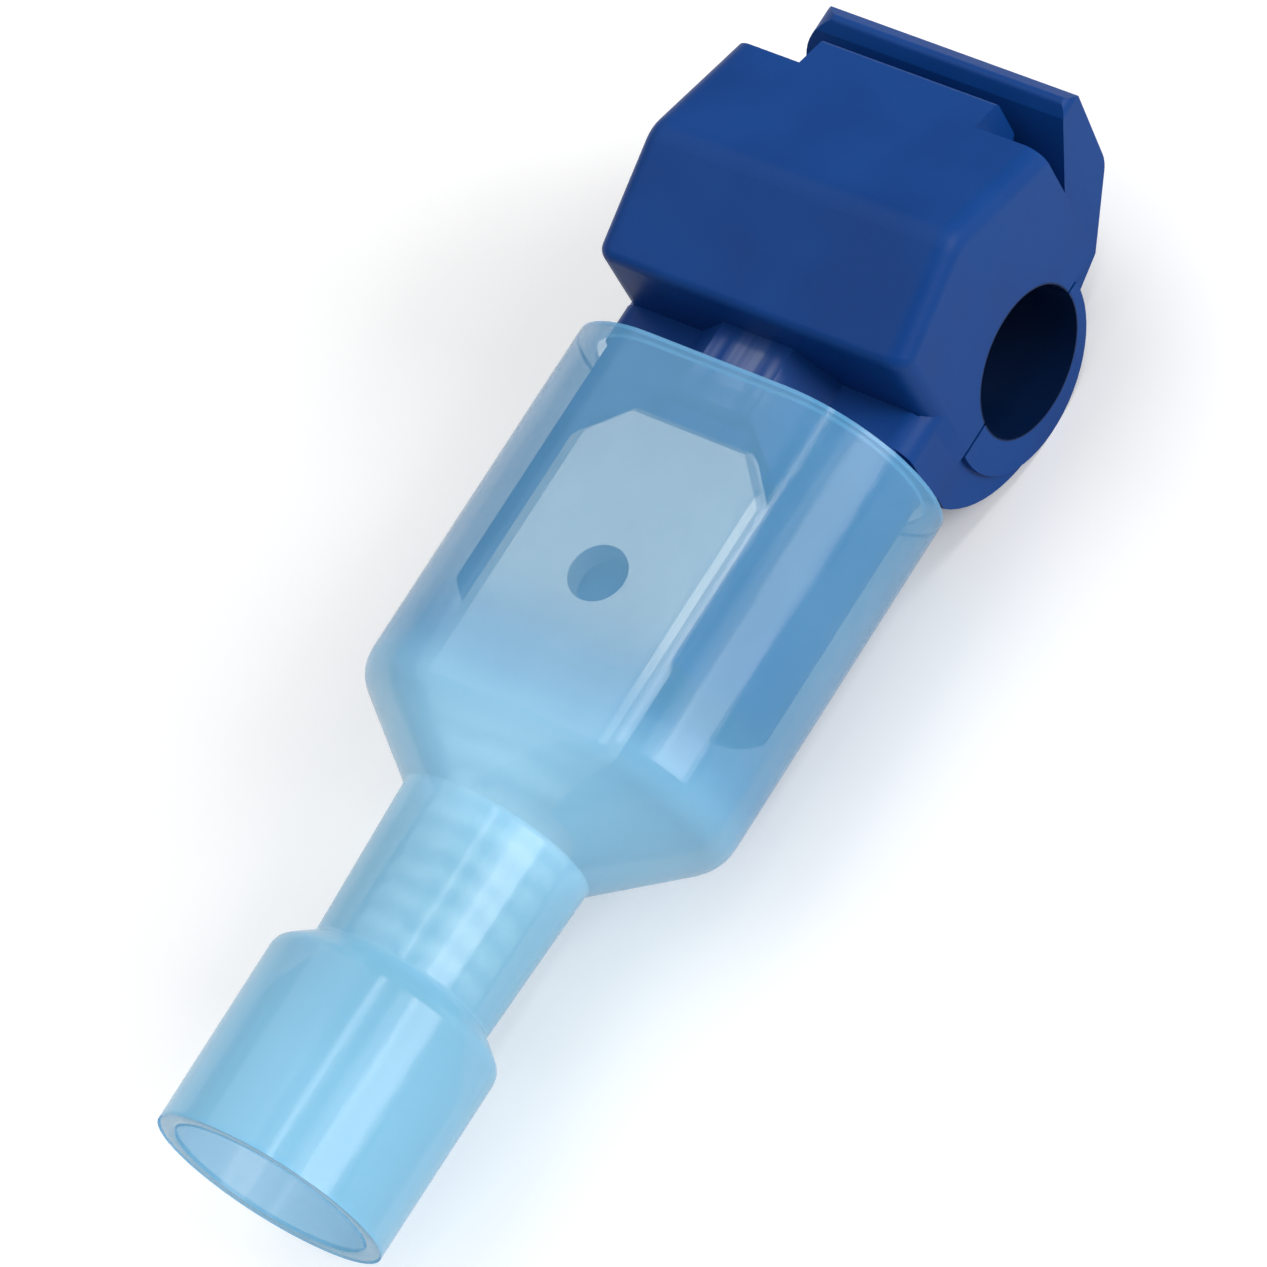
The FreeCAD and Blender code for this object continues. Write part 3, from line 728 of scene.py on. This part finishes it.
def nylon_sleeve():
    mesh = bmesh.new()
    stations = split_long(outer_run, station_gap)
    stations += lip_round(mouth_x + rim_round, -1, (funnel_mouth_r, funnel_mouth_r), funnel_wall)
    inner_from = len(stations)
    stations += split_long(inner_run, station_gap)
    inner_to = len(stations) - 1
    rim = lip_round(rim_x - rim_round, 1, (hood_half_width, hood_half_depth), hood_wall)
    stations += rim[::-1]
    rings = [[mesh.verts.new(point) for point in ring_points(station)] for station in stations]
    add_rings(mesh, rings, closed=True)
    mesh.faces.ensure_lookup_table()
    count = len(rings[0])
    for face in mesh.faces[inner_from * count:inner_to * count]:
        face.material_index = 1
    piece = new_piece("nylon_sleeve", mesh, nylon)
    piece.data.materials.append(inner_nylon)
    return piece


sleeve = nylon_sleeve()
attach(sleeve, "plug")
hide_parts("insulating_sleeve")
print("sleeve has", len(sleeve.data.polygons), "faces")

# %% [markdown]
# ## The living hinge
# The cap hangs on a thin strap of the same plastic, which bends many times without breaking because its
# molecules lie along it. It is thinned across the middle, where it folds. A flat strip with many cuts across
# it stands in for it, with a shallow groove at the fold; it is not tied to either body.

# %% Living hinge strip
hinge_low, hinge_high = (Vector(corner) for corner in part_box("living_hinge"))
hinge_joint = [joint for joint in frame["joints"] if joint["name"] == "cap_hinge"][0]
fold_x = hinge_joint["pos_m"][0]
groove_half = 0.24 * MM
groove_depth = 0.11 * MM
strip_cuts = 36


def hinge_strip():
    mesh = bmesh.new()
    rings = []
    for i in range(strip_cuts + 1):
        x = hinge_low.x + (hinge_high.x - hinge_low.x) * i / strip_cuts
        near = max(0.0, 1.0 - ((x - fold_x) / groove_half) ** 2)
        top = hinge_high.z - groove_depth * near
        corners = [(-1, hinge_low.z), (1, hinge_low.z), (1, top), (-1, top)]
        rings.append([mesh.verts.new((x, side * hinge_high.y, z)) for side, z in corners])
    add_rings(mesh, rings)
    return new_piece("hinge_strip", mesh, blue)


strip = hinge_strip()
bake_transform(strip)
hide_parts("living_hinge")
print("hinge strip folds at x =", round(fold_x / MM, 2), "mm")

# %% [markdown]
# ## Flush cheeks and the strap's cover
# On the real moulding the end face of the head runs straight on into the shoulder under it, with no step. The
# imported solid keeps a small round there, so a thin web fills it on each side. A web's top draws in, as the
# shoulder does. A third small piece of the dark-blue plastic covers the contact's strap just ahead of the tab's
# tip, where the strap lies in shade: it is painted shade made as a solid piece.
# All three are stacks of four-cornered outlines, because nothing on them is round.

# %% Webs and strap cover
head_half_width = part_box("socket_half")[1][1]
web_from_x = bore_x - 3.76 * MM
web_to_x = bore_x - 3.05 * MM
web_depth = 0.75 * MM
web_levels = [(0.26 * MM, 0.002 * MM), (2.15 * MM, 0.002 * MM), (2.37 * MM, 0.05 * MM),
              (2.55 * MM, 0.16 * MM), (2.70 * MM, 0.34 * MM)]
cover_from_x = terminal_high[0] + 0.02 * MM
cover_to_x = terminal_high[0] + 0.62 * MM
cover_half_width = 1.42 * MM
cover_levels = (bore_z + 3.52 * MM, bore_z + 3.88 * MM)


def add_stack(name, x_from, x_to, layers):
    """A piece on the tap's body between two places along X, from layers of (z, y from, y to)."""
    mesh = bmesh.new()
    rings = []
    for z, y_from, y_to in layers:
        outline = [(x_from, y_from), (x_to, y_from), (x_to, y_to), (x_from, y_to)]
        rings.append([mesh.verts.new((x, y, z)) for x, y in outline])
    add_rings(mesh, rings)
    piece = new_piece(name, mesh, blue)
    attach(piece, "tap_body")
    print("added", piece.name, "with", len(layers), "layers")


for side, name in ((-1, "shoulder_web_right"), (1, "shoulder_web_left")):
    root_y = side * (head_half_width - web_depth)
    layers = [(bore_z + rise, side * (head_half_width - back), root_y) for rise, back in web_levels]
    add_stack(name, web_from_x, web_to_x, layers)
# The strap's cover is a dark piece put where the strap lies in shade.
layers = [(z, -cover_half_width, cover_half_width) for z in cover_levels]
add_stack("strap_shade_cover", cover_from_x, cover_to_x, layers)
